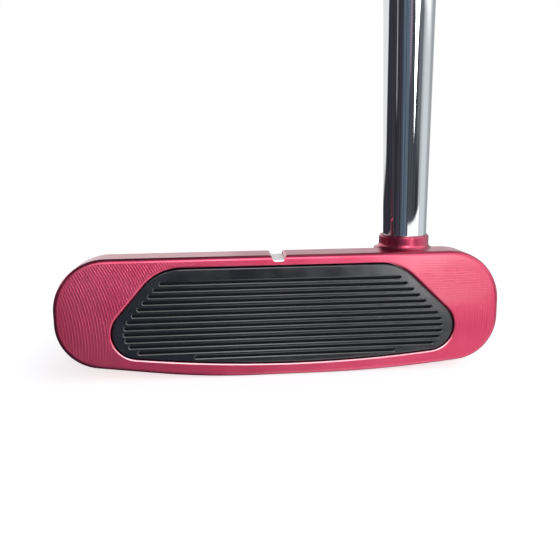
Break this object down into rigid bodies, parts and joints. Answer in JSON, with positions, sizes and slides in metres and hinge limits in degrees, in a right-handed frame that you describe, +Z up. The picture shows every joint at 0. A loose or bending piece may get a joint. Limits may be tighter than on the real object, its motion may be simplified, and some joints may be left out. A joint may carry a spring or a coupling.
{
  "type": "mallet putter",
  "caption": "Right-handed mallet golf putter with a milled head, grooved face insert, double-bend steel shaft, pistol grip and screw-in sole weights.",
  "frame": {"origin": "on the flat rest patch of the sole, under the sight line at the middle of the head", "axes": "+Z up with the sole resting level, +X from toe to heel, the face looks along -Y towards the target"},
  "size_m": [0.358, 0.0745, 0.8155],
  "materials": {
    "head_paint": "satin metallic paint over milled steel",
    "insert_polymer": "satin black, grooved",
    "bond_pad": "soft adhesive pad",
    "sight_paint": "white paint fill",
    "shaft_chrome": "bright chrome plate",
    "plug": "cork-like plug",
    "epoxy": "dark cured glue",
    "band": "plain film band",
    "tape": "double-sided paper tape",
    "grip_rubber": "matt moulded rubber",
    "weight_steel": "turned steel",
    "seal_rubber": "black nitrile"
  },
  "bodies": {
    "club": {"head_body": "head_paint", "face_insert": "insert_polymer", "insert_pad": "bond_pad", "topline_sight_paint": "sight_paint", "flange_sight_paint": "sight_paint", "shaft": "shaft_chrome", "shaft_tip_plug": "plug", "hosel_epoxy": "epoxy", "shaft_band": "band", "grip_tape": "tape", "grip": "grip_rubber", "grip_cap": "grip_rubber"},
    "toe_seal_ring": {"toe_weight_seal": "seal_rubber"},
    "toe_sole_weight": {"toe_weight": "weight_steel"},
    "heel_seal_ring": {"heel_weight_seal": "seal_rubber"},
    "heel_sole_weight": {"heel_weight": "weight_steel"}
  },
  "joints": [
    {"name": "toe_weight_travel", "type": "slide", "parent": "club", "child": "toe_seal_ring", "axis": [-0.1268, 0, -0.9919], "range_m": [0, 0.004]},
    {"name": "toe_weight_turn", "type": "hinge", "parent": "toe_seal_ring", "child": "toe_sole_weight", "pos_m": [-0.031, 0.005, 0.00192], "axis": [-0.1268, 0, -0.9919], "range_deg": [0, 1440]},
    {"name": "heel_weight_travel", "type": "slide", "parent": "club", "child": "heel_seal_ring", "axis": [0.0838, 0, -0.9965], "range_m": [0, 0.004]},
    {"name": "heel_weight_turn", "type": "hinge", "parent": "heel_seal_ring", "child": "heel_sole_weight", "pos_m": [0.031, 0.005, 0.00095], "axis": [0.0838, 0, -0.9965], "range_deg": [0, 1440]}
  ],
  "couplings": [
    {"joint": "toe_weight_travel", "follows": "toe_weight_turn", "m_per_rad": 0.00015915},
    {"joint": "heel_weight_travel", "follows": "heel_weight_turn", "m_per_rad": 0.00015915}
  ]
}
